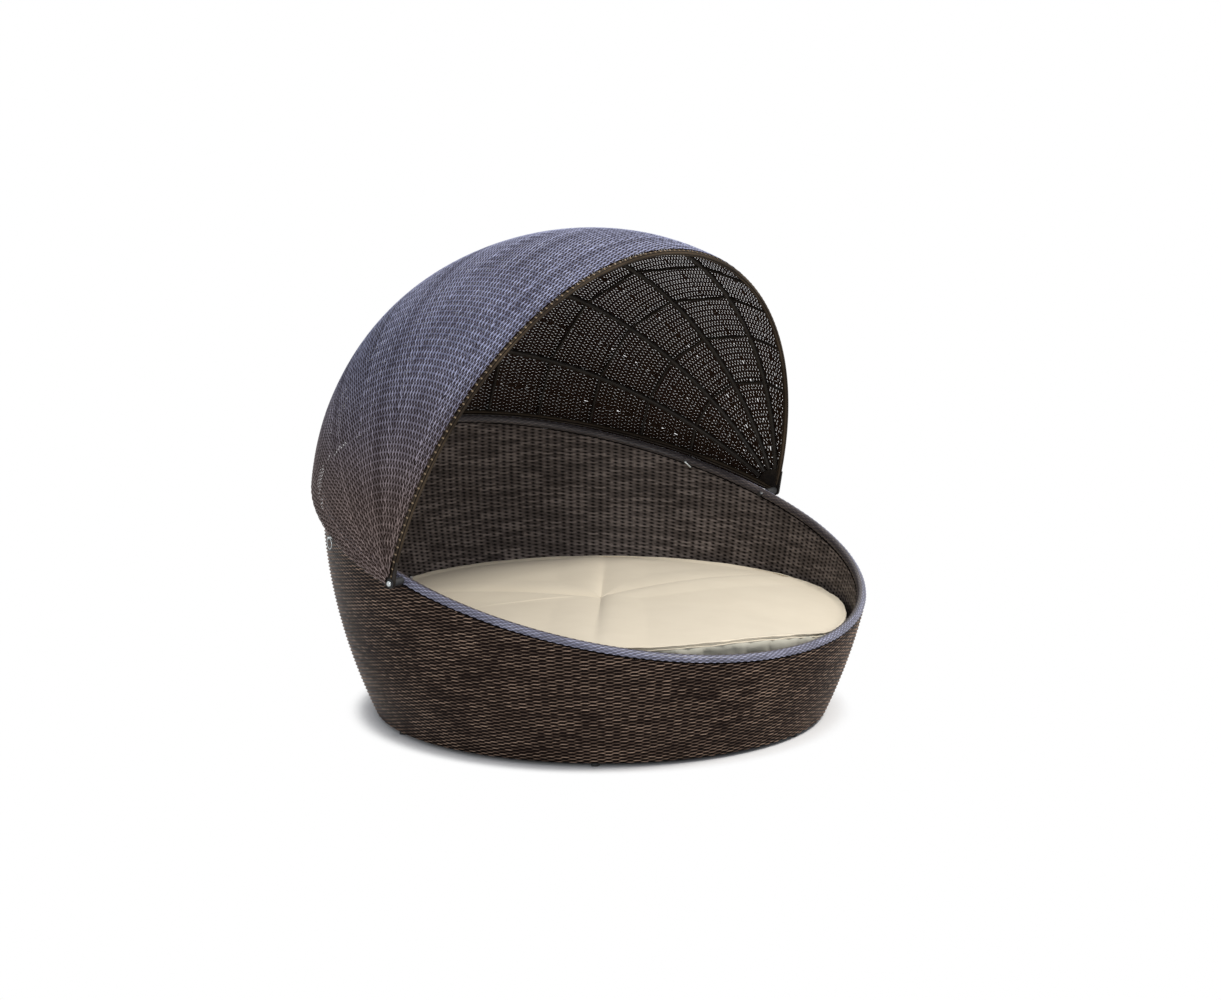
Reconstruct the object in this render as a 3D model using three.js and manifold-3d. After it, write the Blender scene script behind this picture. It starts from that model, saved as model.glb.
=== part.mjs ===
// A round outdoor daybed: a woven tub on a tube frame, a round mattress on a woven deck, and a woven
// hood that swings over the tub on two bolts.
// Millimetres, +Z up. The front faces -Y. Everything is drawn round the tub's axis, and the finished
// group is moved so that the origin is on the floor, under the middle of the whole daybed.
import * as THREE from "three";
import { mergeVertices } from "three/addons/utils/BufferGeometryUtils.js";
import Module from "manifold-3d";

const wasm = await Module();
wasm.setup();

// Driving sizes of the tub
const footHeight = 12;        // gap between the floor and the lower edge of the weave
const footRadius = 13;
const footInset = 6;          // keeps the pad inside the lower edge of the weave
const footCount = 6;
const firstFootAngle = -50;   // degrees round the tub, 0 at the front, 90 at +X
const baseRadius = 743;       // outer face of the weave at its lower edge
const wideRadius = 906;       // outer face where the tub is widest
const wideHeight = 720;
const rimFront = 334;         // heights of the rim tube's middle
const rimSide = 565;
const rimBack = 833;
const wallDepth = 32;         // from the outer weave's face to the inner weave's face
const weaveThickness = 4;
const frameTubeRadius = 12.5;
const rimTubeRadius = 11;
const uprightRadius = 8.5;
const uprightInset = 1;        // inward of half way between the walls, whose sides are flats
const uprightCount = 10;
const baseRingHeight = 28;
const baseRingInset = 22;     // from the outer weave's face in to the middle of the base ring
const rollRadius = 16;        // rolled border that wraps the rim tube
const rollThickness = 3.9;
const rollMouth = 110;        // degrees of the roll's section left open for the walls
const weaveTopDrop = 11.6;    // from the rim tube's middle down to the top edge of the weaves
const deckRingHeight = 208;
const deckRingRadius = 782;
const deckThickness = 7.2;
const deckRadius = 789;
const bearerRows = [-510, -170, 170, 510];
const bearerWidth = 25;
const bearerDepth = 40;

// Driving sizes of the mattress
const mattressFoot = 768;     // radius where it lies on the deck
const mattressRadius = 800;   // radius of its top seam
const mattressMiddle = 383;   // height of its top at the crossing of the seams
const seamLow = 328;          // height of the top seam at the back and on the right
const seamRise = 70;          // how much the fuller front left stands above that
const fullSide = -50;         // degrees, middle of the fuller side
const sewnSeams = [-50, 80, 130, 210];
const sewnDepth = 12;
const quadrantPuff = 12;

// Driving sizes of the hood
const pivotY = 32;
const pivotZ = 576;
const hoodHalfWidth = 959;    // outer face of the hood's weave on the pivot axis
const bowReach = [997, 1003, 1003, 997, 971, 936];
const bowAngles = [74.6, 89, 109.5, 127.5, 147, 162.6];
const bowFullness = [1.0, 0.97, 0.965, 0.99, 1.025, 1.045];
const bowInset = 12.8;        // from the weave's outer face in to the middle of a bow
const bowRadius = 8;
const edgeBowRadius = 6.8;    // the first and the last bow, inside their bindings
const bowSteps = 30;
const hoodWeaveThickness = 4;
const slotCells = [4, 6, 8, 10, 12, 17, 19, 21, 23, 25];   // bow steps that have openings
const slotLength = 0.6;       // share of a bow step
const slotWidth = 0.2;        // share of the distance between two bows
const bindingRadius = 9.5;
const bindingBore = 7.2;
const spacerRadius = 3.6;
const spacerPitch = 11.25;    // degrees of a bow between two spacers
const spacerCount = 13;
const hubRadius = 75;
const hubThickness = 6;
const hubBossRadius = 17;
const boltRadius = 5;
const boltHeadRadius = 9;
const boltHeadHeight = 7;
const washerRadius = 15;
const washerThickness = 2.5;
const pivotSpacerRadius = 12;
const nutRadius = 9.2;
const nutLength = 8;

// Driving sizes of the stop pins
const pinAngle = 112;         // degrees round the rim, on both sides
const pinRadius = 3.2;
const pinOuterEnd = 964;      // distance of the outer end from the tub's axis
const pinInnerEnd = 865;
const pinArm = 34;            // length of the arm bent along the inner wall
const pinArmSlope = 41;       // degrees below level
const keeperRadius = 18;
const keeperWire = 1.2;

const middleBehind = 32.45;   // the whole daybed's middle lies this far behind the tub's axis
const gap = 0.3;
const ringSteps = 48;
const deg = Math.PI / 180;

// Shape of the tub
const wallRadius = z => wideRadius
  - (wideRadius - baseRadius) * (1 - (z - footHeight) / (wideHeight - footHeight)) ** 2;

const rimHeight = a => (rimFront + rimBack) / 4 + rimSide / 2
  - (rimBack - rimFront) / 2 * Math.cos(a)
  + ((rimFront + rimBack) / 4 - rimSide / 2) * Math.cos(2 * a);

const polar = (a, r, z) => new THREE.Vector3(r * Math.sin(a), -r * Math.cos(a), z);

// A size of the bows at bow number u, which runs smoothly through the whole numbers
function smoothAt(values, u) {
  const last = values.length - 1;
  const i = Math.min(Math.floor(u), last - 1);
  const t = u - i;
  const [p, q] = [values[i], values[i + 1]];
  const before = i > 0 ? values[i - 1] : 2 * p - q;
  const after = i < last - 1 ? values[i + 2] : 2 * q - p;
  const bend = 2 * before - 5 * p + 4 * q - after + t * (3 * (p - q) + after - before);
  return p + t * (q - before + t * bend) / 2;
}

// Degrees of bow number u up from level at the front
function angleAt(u) {
  const i = Math.min(Math.floor(u), bowAngles.length - 2);
  return THREE.MathUtils.lerp(bowAngles[i], bowAngles[i + 1], u - i);
}

// Shape of the hood: bow u at station a, 0 to pi from the +X pivot to the -X pivot, set in by inset
function bowPoint(u, a, inset) {
  const reach = (smoothAt(bowReach, u) - inset) * Math.sin(a) ** smoothAt(bowFullness, u);
  const t = angleAt(u) * deg;
  return new THREE.Vector3(
    (hoodHalfWidth - inset) * Math.cos(a),
    pivotY - reach * Math.cos(t),
    pivotZ + reach * Math.sin(t),
  );
}

const reachOf = p => Math.hypot(p.y - pivotY, p.z - pivotZ);

// Station at which a bow comes within a distance of the pivot axis
function stationAt(i, distance, inset) {
  return Math.asin((distance / (bowReach[i] - inset)) ** (1 / bowFullness[i]));
}

// Moves every point of a geometry, then joins its seams and turns its faces outward
function shaped(geometry, move = p => p) {
  geometry.deleteAttribute("normal");
  geometry.deleteAttribute("uv");
  const at = geometry.attributes.position;
  const p = new THREE.Vector3();
  for (let i = 0; i < at.count; i++) {
    const q = move(p.fromBufferAttribute(at, i));
    at.setXYZ(i, q.x, q.y, q.z);
  }
  const joined = mergeVertices(geometry, 1e-3);
  if (volumeOf(joined) < 0) {
    const index = joined.index.array;
    for (let i = 0; i < index.length; i += 3) [index[i], index[i + 1]] = [index[i + 1], index[i]];
  }
  return dropSlivers(joined);
}

function volumeOf(geometry) {
  const at = geometry.attributes.position;
  const index = geometry.index.array;
  const [a, b, c] = [new THREE.Vector3(), new THREE.Vector3(), new THREE.Vector3()];
  let sum = 0;
  for (let i = 0; i < index.length; i += 3) {
    a.fromBufferAttribute(at, index[i]);
    b.fromBufferAttribute(at, index[i + 1]);
    c.fromBufferAttribute(at, index[i + 2]);
    sum += a.dot(b.cross(c));
  }
  return sum / 6;
}

// Triangles that closed up when points were joined, as at the poles of a lathe, are left out
function dropSlivers(geometry) {
  const index = geometry.index.array;
  const kept = [];
  for (let i = 0; i < index.length; i += 3) {
    const [a, b, c] = [index[i], index[i + 1], index[i + 2]];
    if (a !== b && b !== c && c !== a) kept.push(a, b, c);
  }
  geometry.setIndex(kept);
  return geometry;
}

// Joins and cuts
function toSolid(geometry) {
  return new wasm.Manifold(new wasm.Mesh({
    numProp: 3,
    vertProperties: new Float32Array(geometry.attributes.position.array),
    triVerts: new Uint32Array(geometry.index.array),
  }));
}

function fromSolid(solid) {
  const mesh = solid.getMesh();
  const geometry = new THREE.BufferGeometry();
  geometry.setAttribute("position", new THREE.BufferAttribute(mesh.vertProperties, 3));
  geometry.setIndex(new THREE.BufferAttribute(mesh.triVerts, 1));
  return geometry;
}

const cutFrom = (body, ...tools) =>
  fromSolid(tools.reduce((left, tool) => left.subtract(toSolid(tool)), toSolid(body)));

const joinTo = (body, ...pieces) =>
  fromSolid(pieces.reduce((whole, piece) => whole.add(toSolid(piece)), toSolid(body)));

// A cylinder between two points
function rod(from, to, radius, sides = 10) {
  const along = to.clone().sub(from);
  const turn = new THREE.Quaternion().setFromUnitVectors(
    new THREE.Vector3(0, 1, 0), along.clone().normalize());
  const middle = from.clone().lerp(to, 0.5);
  return shaped(new THREE.CylinderGeometry(radius, radius, along.length(), sides),
    p => p.applyQuaternion(turn).add(middle));
}

// A ring round the tub whose section, in the upright plane at angle a, is a closed list of [x, y]
function ringOf(section, place, steps = ringSteps) {
  const far = 1000;
  const loop = [...section, section[0]].map(([x, y]) => new THREE.Vector2(far + x, y));
  return shaped(new THREE.LatheGeometry(loop, steps), p => {
    const a = Math.atan2(p.x, p.z);
    return place(a, Math.hypot(p.x, p.z) - far, p.y);
  });
}

function circle(radius, sides) {
  return Array.from({ length: sides }, (_, i) => {
    const t = (i + 0.5) / sides * 2 * Math.PI;
    return [radius * Math.cos(t), radius * Math.sin(t)];
  });
}

// A turned part on the pivot axis: a list of [radius, distance from the middle of the tub]
function turned(profile, side, sides = 12) {
  const loop = profile.map(([r, d]) => new THREE.Vector2(r, d));
  return shaped(new THREE.LatheGeometry(loop, sides),
    p => new THREE.Vector3(side * p.y, pivotY + p.x, pivotZ + p.z));
}

// Tub
const baseRingRadius = wallRadius(baseRingHeight) - baseRingInset;

function baseRing() {
  return ringOf(circle(frameTubeRadius, 6),
    (a, x, y) => polar(a, baseRingRadius + x, baseRingHeight + y));
}

function deckRing() {
  return ringOf(circle(frameTubeRadius, 6),
    (a, x, y) => polar(a, deckRingRadius + x, deckRingHeight + y));
}

// Points beside the rim tube's middle, x outward and y up
const besideRim = (a, x, y) =>
  polar(a, wallRadius(rimHeight(a)) - wallDepth / 2 + x, rimHeight(a) + y);

// Clearance holes that the pivot bolts and stop pins need in what lies along the rim
function rimHoles() {
  const bolts = rod(new THREE.Vector3(-hoodHalfWidth, pivotY, pivotZ),
    new THREE.Vector3(hoodHalfWidth, pivotY, pivotZ), boltRadius + 2 * gap, 12);
  const pins = [-1, 1].map(side => rod(pinPoint(side, pinInnerEnd), pinPoint(side, pinOuterEnd),
    pinRadius + 2 * gap, 10));
  return [bolts, ...pins];
}

function rimTube() {
  return cutFrom(ringOf(circle(rimTubeRadius, 8), besideRim), ...rimHoles());
}

// The border is a roll of weave over the rim tube, open below where the two walls meet it
function rimBorder() {
  const outerSteps = 8;
  const innerSteps = 5;
  const start = -90 + rollMouth / 2;
  const sweep = 360 - rollMouth;
  const arc = (radius, steps) => Array.from({ length: steps + 1 }, (_, i) => {
    const t = (start + sweep * i / steps) * deg;
    return [radius * Math.cos(t), radius * Math.sin(t)];
  });
  const section = [...arc(rollRadius, outerSteps),
    ...arc(rollRadius - rollThickness, innerSteps).reverse()];
  return cutFrom(ringOf(section, besideRim), ...rimHoles());
}

// A wall of weave from a lower height up to the border, its outer face set in by inset
function wallWeave(bottom, inset, rows) {
  const up = Array.from({ length: rows + 1 }, (_, i) => [0, i / rows]);
  const down = up.map(([, t]) => [-weaveThickness, t]).reverse();
  return ringOf([...up, ...down], (a, x, t) => {
    const z = bottom + t * (rimHeight(a) - weaveTopDrop - bottom);
    return polar(a, wallRadius(z) - inset + x, z);
  });
}

function upright(angle) {
  const bottom = baseRingHeight + frameTubeRadius + gap;
  return shaped(new THREE.CylinderGeometry(uprightRadius, uprightRadius, 1, 6, 5), p => {
    const middle = angle * deg;
    const a = middle + p.x / wideRadius;
    const top = rimHeight(a) - rimTubeRadius - gap;
    const z = bottom + (p.y + 0.5) * (top - bottom);
    const r = wallRadius(z) - wallDepth / 2 - uprightInset + p.z;
    return polar(middle, r, z).add(new THREE.Vector3(
      p.x * Math.cos(middle), p.x * Math.sin(middle), 0));
  });
}

function deckBearer(y) {
  const inner = deckRingRadius - frameTubeRadius - 2;
  const half = Math.sqrt(inner ** 2 - (Math.abs(y) + bearerWidth / 2) ** 2);
  const top = deckRingHeight + frameTubeRadius;
  return shaped(new THREE.BoxGeometry(2 * half, bearerWidth, bearerDepth),
    p => p.add(new THREE.Vector3(0, y, top - bearerDepth / 2)));
}

const deckUnder = deckRingHeight + frameTubeRadius + gap;
const deckTop = deckUnder + deckThickness;

function deckPanel() {
  return shaped(new THREE.CylinderGeometry(deckRadius, deckRadius, deckThickness, ringSteps),
    p => new THREE.Vector3(p.x, -p.z, deckUnder + deckThickness / 2 + p.y));
}

function foot(angle) {
  const top = baseRingHeight - frameTubeRadius - gap;
  const middle = polar(angle * deg, baseRingRadius - footInset, 0);
  return rod(middle, middle.clone().setZ(top), footRadius, 12);
}

// Mattress: the top seam runs round it at this height, highest on its fuller side
function seamHeight(a) {
  const near = (Math.cos(a - fullSide * deg) - 0.25) / 0.65;
  return seamLow + seamRise * THREE.MathUtils.smoothstep(near, 0, 1);
}

// Height of the mattress's top: crowned from its seam, puffed between the sewn seams
function mattressTop(a, r) {
  const out = r / mattressRadius;
  const crown = mattressMiddle + (seamHeight(a) - mattressMiddle) * out ** 2.4;
  const puff = quadrantPuff * Math.sin(Math.PI * Math.min(1, out * 1.02)) ** 0.6;
  const onSeam = sewnSeams.some(s => Math.abs(Math.cos(a - s * deg) - 1) < 1e-4);
  return crown + (onSeam ? puff - sewnDepth * Math.min(1, 4 * out * (1.02 - out) + 0.2) : puff);
}

function mattress() {
  const bottom = deckTop + gap;
  const side = [[0, 0], [mattressFoot, 0], [mattressRadius - 12, 0.3], [mattressRadius, 0.72]];
  const rings = [0.985, 0.93, 0.82, 0.66, 0.48, 0.3, 0.14, 0];
  const profile = [...side, [mattressRadius - 2, 1], ...rings.map(k => [k * mattressRadius, 1])];
  return shaped(new THREE.LatheGeometry(profile.map(([r, t]) => new THREE.Vector2(r, t)), 36), p => {
    const a = Math.atan2(p.x, p.z);
    const r = Math.hypot(p.x, p.z);
    const top = p.y === 1 && r < mattressRadius - 3 ? mattressTop(a, r) : seamHeight(a);
    return polar(a, r, bottom + p.y * (top - bottom));
  });
}

// Hood
// Stations are even along a bow, except that the first and the last are moved to its ends
function stationOf(t, end) {
  const fromEnd = Math.min(t, 1 - t) * bowSteps;
  const a = fromEnd < 1 ? end + (Math.PI / bowSteps - end) * fromEnd : fromEnd * Math.PI / bowSteps;
  return t < 0.5 ? a : Math.PI - a;
}

class BowLine extends THREE.Curve {
  constructor(i, end) {
    super();
    this.bow = i;
    this.end = stationAt(i, end, bowInset);
  }
  getPoint(t, target = new THREE.Vector3()) {
    return target.copy(bowPoint(this.bow, stationOf(t, this.end), bowInset));
  }
  getUtoTmapping(u) {
    return u;
  }
}

function alongBow(i, end, outline) {
  return shaped(new THREE.ExtrudeGeometry(outline,
    { steps: bowSteps, bevelEnabled: false, extrudePath: new BowLine(i, end) }));
}

const disc = (radius, sides) =>
  new THREE.Shape(circle(radius, sides).map(([x, y]) => new THREE.Vector2(x, y)));

const isEdge = i => i === 0 || i === bowAngles.length - 1;

const plainBow = i =>
  alongBow(i, hubRadius + 1.2, disc(isEdge(i) ? edgeBowRadius : bowRadius, 6));

function binding(i) {
  const outline = disc(bindingRadius, 8);
  outline.holes.push(disc(bindingBore, 6));
  return alongBow(i, hubRadius + 2, outline);
}

// Clearance that a spacer keeps from the bow, or from the binding, that it is not fixed to
const sideRadius = i => (isEdge(i) ? bindingRadius : bowRadius) + gap;

// Short bars from one bow to the next, fixed to the bow named first
function spacers(fixed, other) {
  return Array.from({ length: spacerCount }, (_, j) => {
    const a = (j + 2) * spacerPitch * deg;
    const from = bowPoint(fixed, a, bowInset);
    const to = bowPoint(other, a, bowInset);
    const length = from.distanceTo(to);
    return rod(from, from.clone().lerp(to, 1 - (sideRadius(other) + 0.6) / length), spacerRadius, 4);
  });
}

const spacedBow = (i, ...others) =>
  joinTo(plainBow(i), ...others.flatMap(other => spacers(i, other)));

// Angle past a bow at which its binding ends and the weave may begin
const bindingAngle = reach => (bindingRadius + 0.7) / reach;

// The weave at bow number u; side is 0 on its outer face and 1 on its inner
function weavePoint(station, u, side) {
  const inset = side * hoodWeaveThickness;
  const last = bowAngles.length - 1;
  const a = stationOf(station, stationAt(0, 30, 0));
  const atPole = Math.min(station, 1 - station) < 0.5 / bowSteps;
  const edge = bindingAngle(reachOf(bowPoint(u, a, inset)));
  const first = bowAngles[0] * deg + edge;
  const final = bowAngles[last] * deg - edge;
  const share = (angleAt(u) - bowAngles[0]) / (bowAngles[last] - bowAngles[0]);
  let angle = angleAt(u) * deg;
  if (atPole) angle = first + (final - first) * share;
  else if (u === 0) angle = first;
  else if (u === last) angle = final;
  const p = bowPoint(u, a, inset);
  const reach = reachOf(p);
  return new THREE.Vector3(p.x, pivotY - reach * Math.cos(angle), pivotZ + reach * Math.sin(angle));
}

// A cutter through the weave, a quarter of the way from bow i to the next
function slot(i, cell) {
  return shaped(new THREE.BoxGeometry(1, 1, 1), p => bowPoint(
    i + 0.25 + slotWidth * p.y,
    (cell + 0.5 + slotLength * p.x) * Math.PI / bowSteps,
    hoodWeaveThickness * (0.5 + 3 * p.z),
  ));
}

// The openwork's light comes through a plain grid of openings
function hoodWeave() {
  const last = bowAngles.length - 1;
  const sheet = shaped(new THREE.BoxGeometry(1, 1, 1, bowSteps, 2 * last, 1),
    p => weavePoint(p.x + 0.5, Math.round((p.y + 0.5) * 2 * last) / 2, p.z > 0 ? 0 : 1));
  const slots = slotCells.flatMap(cell => Array.from({ length: last }, (_, i) => slot(i, cell)));
  return cutFrom(sheet, ...slots);
}

// Fan-shaped plate that the bows' ends are welded to, with the bolt's hole in its boss
function hubPlate(side) {
  const from = (bowAngles[0] - 8) * deg;
  const to = (bowAngles[bowAngles.length - 1] + 8) * deg;
  const outline = new THREE.Shape();
  outline.absarc(0, 0, hubRadius, from, to, false);
  const [bossFrom, bossTo] = [to + Math.PI / 2 - 0.2, from + 1.5 * Math.PI + 0.2];
  outline.absarc(0, 0, hubBossRadius, bossFrom, bossTo, false);
  outline.holes.push(new THREE.Path().absarc(0, 0, boltRadius + 0.5, 0, 2 * Math.PI));
  const plate = new THREE.ExtrudeGeometry(outline,
    { depth: hubThickness, curveSegments: 10, bevelEnabled: false });
  const middle = hoodHalfWidth - bowInset;
  return shaped(plate, p => new THREE.Vector3(
    side * (middle - hubThickness / 2 + p.z), pivotY - p.x, pivotZ + p.y));
}

const hubOuter = hoodHalfWidth - bowInset + hubThickness / 2;
const hubInner = hubOuter - hubThickness;
// The border's faces beside a bolt; its sides are flats, which lie a little inside its true curve
const rimOuter = Math.sqrt(wallRadius(pivotZ) ** 2 - pivotY ** 2) - 0.6;
const rimInner = Math.sqrt((wallRadius(pivotZ) - wallDepth) ** 2 - pivotY ** 2) - 2.2;
const washerOuter = hubOuter + gap + washerThickness;

function pipe(inner, outer, from, to, side) {
  return turned([[inner, from], [outer, from], [outer, to], [inner, to], [inner, from]], side);
}

function pivotBolt(side) {
  const head = washerOuter + gap;
  return turned([
    [0, rimInner - nutLength - 4], [boltRadius, rimInner - nutLength - 4], [boltRadius, head],
    [boltHeadRadius, head], [boltHeadRadius, head + 0.45 * boltHeadHeight],
    [0.7 * boltHeadRadius, head + 0.85 * boltHeadHeight], [0, head + boltHeadHeight],
  ], side);
}

const pivotWasher = side => pipe(boltRadius + 0.5, washerRadius, hubOuter + gap, washerOuter, side);
const pivotSpacer = side =>
  pipe(boltRadius + 0.5, pivotSpacerRadius, rimOuter + gap, hubInner - gap, side);

function pivotNut(side) {
  const [from, to] = [rimInner - gap - nutLength, rimInner - gap];
  const hexagon = turned([[0, from], [nutRadius, from], [nutRadius, to], [0, to]], side, 6);
  const bore = turned([[0, from - 1], [boltRadius + 0.5, from - 1], [boltRadius + 0.5, to + 1],
    [0, to + 1]], side);
  return cutFrom(hexagon, bore);
}

// Stop pins: level, square to the rim, just under the rear bow's binding
function pinHeight() {
  const last = bowAngles.length - 1;
  let [low, high] = [10 * deg, 60 * deg];
  for (let i = 0; i < 40; i++) {
    const a = (low + high) / 2;
    const p = bowPoint(last, a, bowInset);
    if (Math.atan2(p.x, -p.y) < pinAngle * deg) low = a;
    else high = a;
  }
  const on = bowPoint(last, low, bowInset);
  const bow = bowPoint(last, low + 0.01, bowInset).sub(on).normalize();
  const across = bow.cross(polar(pinAngle * deg, 1, 0)).normalize();
  return on.z - (bindingRadius + pinRadius + gap) / Math.abs(across.z);
}
const pinZ = pinHeight();

const pinPoint = (side, r) => polar(side * pinAngle * deg, r, pinZ);

// Unit vector along the rim, level and towards the front
const alongRim = side => new THREE.Vector3(
  -side * Math.cos(pinAngle * deg), -Math.sin(pinAngle * deg), 0);

const keeperAt = side => pinPoint(side, pinOuterEnd - 6);

// A round bar bent square: its arm lies along the inner wall, and a cross hole takes the keeper ring
function stopPin(side) {
  const bend = pinPoint(side, pinInnerEnd);
  const arm = alongRim(side).multiplyScalar(Math.cos(pinArmSlope * deg));
  arm.z = -Math.sin(pinArmSlope * deg);
  const straightEnd = pinPoint(side, pinInnerEnd + 6);
  const armStart = bend.clone().addScaledVector(arm, 6);
  const path = new THREE.CurvePath();
  path.add(new THREE.LineCurve3(pinPoint(side, pinOuterEnd), straightEnd));
  path.add(new THREE.QuadraticBezierCurve3(straightEnd, bend, armStart));
  path.add(new THREE.LineCurve3(armStart, bend.clone().addScaledVector(arm, pinArm)));
  const bar = shaped(new THREE.ExtrudeGeometry(disc(pinRadius, 8),
    { steps: 15, bevelEnabled: false, extrudePath: path }));
  const hole = alongRim(side).multiplyScalar(3 * pinRadius);
  const at = keeperAt(side);
  return cutFrom(bar, rod(at.clone().sub(hole), at.clone().add(hole), keeperWire + 0.8, 8));
}

function keeperRing(side) {
  const out = polar(side * pinAngle * deg, 1, 0);
  const across = alongRim(side);
  const middle = keeperAt(side);
  return shaped(new THREE.TorusGeometry(keeperRadius, keeperWire, 5, 20), p => {
    const [x, y, z] = p;
    return middle.clone().addScaledVector(across, x).addScaledVector(out, z)
      .add(new THREE.Vector3(0, 0, y - keeperRadius));
  });
}

// Finishes
const finishes = {
  wicker: { color: 0x33261f, roughness: 0.45, metalness: 0 },
  wickerLight: { color: 0x4a4150, roughness: 0.4, metalness: 0 },
  frame: { color: 0x17130f, roughness: 0.5, metalness: 0.3 },
  fabric: { color: 0xe4d8bf, roughness: 0.9, metalness: 0 },
  steel: { color: 0xd9dde0, roughness: 0.25, metalness: 1 },
  rubber: { color: 0x0d0d0e, roughness: 0.7, metalness: 0 },
};

const daybed = new THREE.Group();
const hood = new THREE.Group();
daybed.add(hood);
daybed.position.y = -middleBehind;

function add(name, finish, geometry, group = daybed) {
  const mesh = new THREE.Mesh(geometry, new THREE.MeshStandardMaterial(finishes[finish]));
  mesh.name = name;
  group.add(mesh);
}

add("base_ring", "frame", baseRing());
add("deck_ring", "frame", deckRing());
add("rim_tube", "frame", rimTube());
for (let k = 0; k < uprightCount; k++) {
  add(`upright_${k + 1}`, "frame", upright(k * 360 / uprightCount));
}
bearerRows.forEach((y, k) => add(`deck_bearer_${k + 1}`, "frame", deckBearer(y)));
add("deck_panel", "wicker", deckPanel());
add("outer_wall", "wicker", wallWeave(footHeight, 0, 5));
add("inner_wall", "wicker", wallWeave(deckTop - 6, wallDepth - weaveThickness, 3));
add("rim_border", "wickerLight", rimBorder());
for (let k = 0; k < footCount; k++) {
  add(`foot_${k + 1}`, "rubber", foot(firstFootAngle + k * 360 / footCount));
}
add("mattress", "fabric", mattress());

add("hood_front_bow", "frame", plainBow(0), hood);
add("hood_bow_2", "frame", spacedBow(1, 0, 2), hood);
add("hood_bow_3", "frame", spacedBow(2, 3), hood);
add("hood_bow_4", "frame", spacedBow(3, 4), hood);
add("hood_bow_5", "frame", spacedBow(4, 5), hood);
add("hood_rear_bow", "frame", plainBow(5), hood);
add("hood_weave", "wicker", hoodWeave(), hood);
add("hood_front_binding", "wicker", binding(0), hood);
add("hood_rear_binding", "wicker", binding(5), hood);
for (const [name, side] of [["left", -1], ["right", 1]]) {
  add(`hub_plate_${name}`, "frame", hubPlate(side), hood);
  add(`pivot_bolt_${name}`, "steel", pivotBolt(side));
  add(`pivot_washer_${name}`, "rubber", pivotWasher(side));
  add(`pivot_spacer_${name}`, "rubber", pivotSpacer(side));
  add(`pivot_nut_${name}`, "steel", pivotNut(side));
  add(`stop_pin_${name}`, "steel", stopPin(side));
  add(`keeper_ring_${name}`, "steel", keeperRing(side));
}

export default daybed;
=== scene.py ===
import math

import bpy
import numpy as np
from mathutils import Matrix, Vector


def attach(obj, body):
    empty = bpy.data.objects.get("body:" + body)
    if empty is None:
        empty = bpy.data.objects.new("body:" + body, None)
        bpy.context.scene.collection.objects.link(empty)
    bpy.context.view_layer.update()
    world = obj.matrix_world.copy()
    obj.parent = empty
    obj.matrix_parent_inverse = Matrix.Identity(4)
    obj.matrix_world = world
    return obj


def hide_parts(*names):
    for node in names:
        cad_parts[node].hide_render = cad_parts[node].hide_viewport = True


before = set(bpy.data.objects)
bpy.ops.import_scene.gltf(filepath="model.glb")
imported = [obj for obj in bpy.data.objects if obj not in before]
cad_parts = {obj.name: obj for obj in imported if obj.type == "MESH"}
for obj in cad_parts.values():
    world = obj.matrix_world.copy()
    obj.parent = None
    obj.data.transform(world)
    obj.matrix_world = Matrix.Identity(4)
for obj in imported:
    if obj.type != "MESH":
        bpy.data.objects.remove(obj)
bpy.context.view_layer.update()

# The room: a white floor under a white sky, a large soft lamp high in front, a weaker one at the left,
# and the camera in front of the daybed's left side.


class Wire:
    """A socket of a shader, which can be used in sums, products and mixes like a number."""

    def __init__(self, tree, socket=None):
        self.tree = tree
        self.socket = socket

    def node(self, kind, settings, inputs, output=0):
        made = self.tree.nodes.new(kind)
        for name, value in settings.items():
            setattr(made, name, value)
        for name, value in inputs.items():
            if isinstance(value, Wire):
                self.tree.links.new(value.socket, made.inputs[name])
            else:
                made.inputs[name].default_value = value
        return Wire(self.tree, made.outputs[output])

    def maths(self, operation, first, second=0.0):
        return self.node("ShaderNodeMath", {"operation": operation}, {0: first, 1: second})

    def __add__(self, other):
        return self.maths("ADD", self, other)

    __radd__ = __add__

    def __mul__(self, other):
        return self.maths("MULTIPLY", self, other)

    __rmul__ = __mul__

    def __sub__(self, other):
        return self.maths("SUBTRACT", self, other)

    def __rsub__(self, other):
        return self.maths("SUBTRACT", other, self)

    def ramp(self, low, high):
        """0 below low, 1 above high, smooth between."""
        return self.node("ShaderNodeMapRange", {"interpolation_type": "SMOOTHSTEP"},
                         {"Value": self, "From Min": low, "From Max": high})

    def mix(self, first, second):
        """A colour: first where this is 0, second where it is 1."""
        sockets = {"Factor": self, 6: first, 7: second}
        return self.node("ShaderNodeMix", {"data_type": "RGBA"}, sockets, 2)

    def part(self, name):
        """A value stored at the piece's points."""
        return self.node("ShaderNodeAttribute", {"attribute_name": name}, {}, "Fac")

    def noise(self, scale, detail=2.0, stretch=(1, 1, 1)):
        spot = self.node("ShaderNodeTexCoord", {}, {}, "Object")
        spot = self.node("ShaderNodeVectorMath", {"operation": "MULTIPLY"}, {0: spot, 1: stretch})
        sockets = {"Vector": spot, "Scale": scale, "Detail": detail}
        return self.node("ShaderNodeTexNoise", {}, sockets, "Fac")

    def height(self):
        spot = self.node("ShaderNodeTexCoord", {}, {}, "Object")
        return self.node("ShaderNodeSeparateXYZ", {}, {0: spot}, "Z")

    def bump(self, strength, distance):
        sockets = {"Strength": strength, "Distance": distance, "Height": self}
        return self.node("ShaderNodeBump", {}, sockets, "Normal")

    def to(self, shader, name):
        self.tree.links.new(self.socket, shader.inputs[name])


scene = bpy.context.scene
scene.view_settings.view_transform = "Standard"

# The middle of the whole daybed, which is the frame's own middle, lies this far behind the tub's axis.
middle_behind = 0.03245

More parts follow.
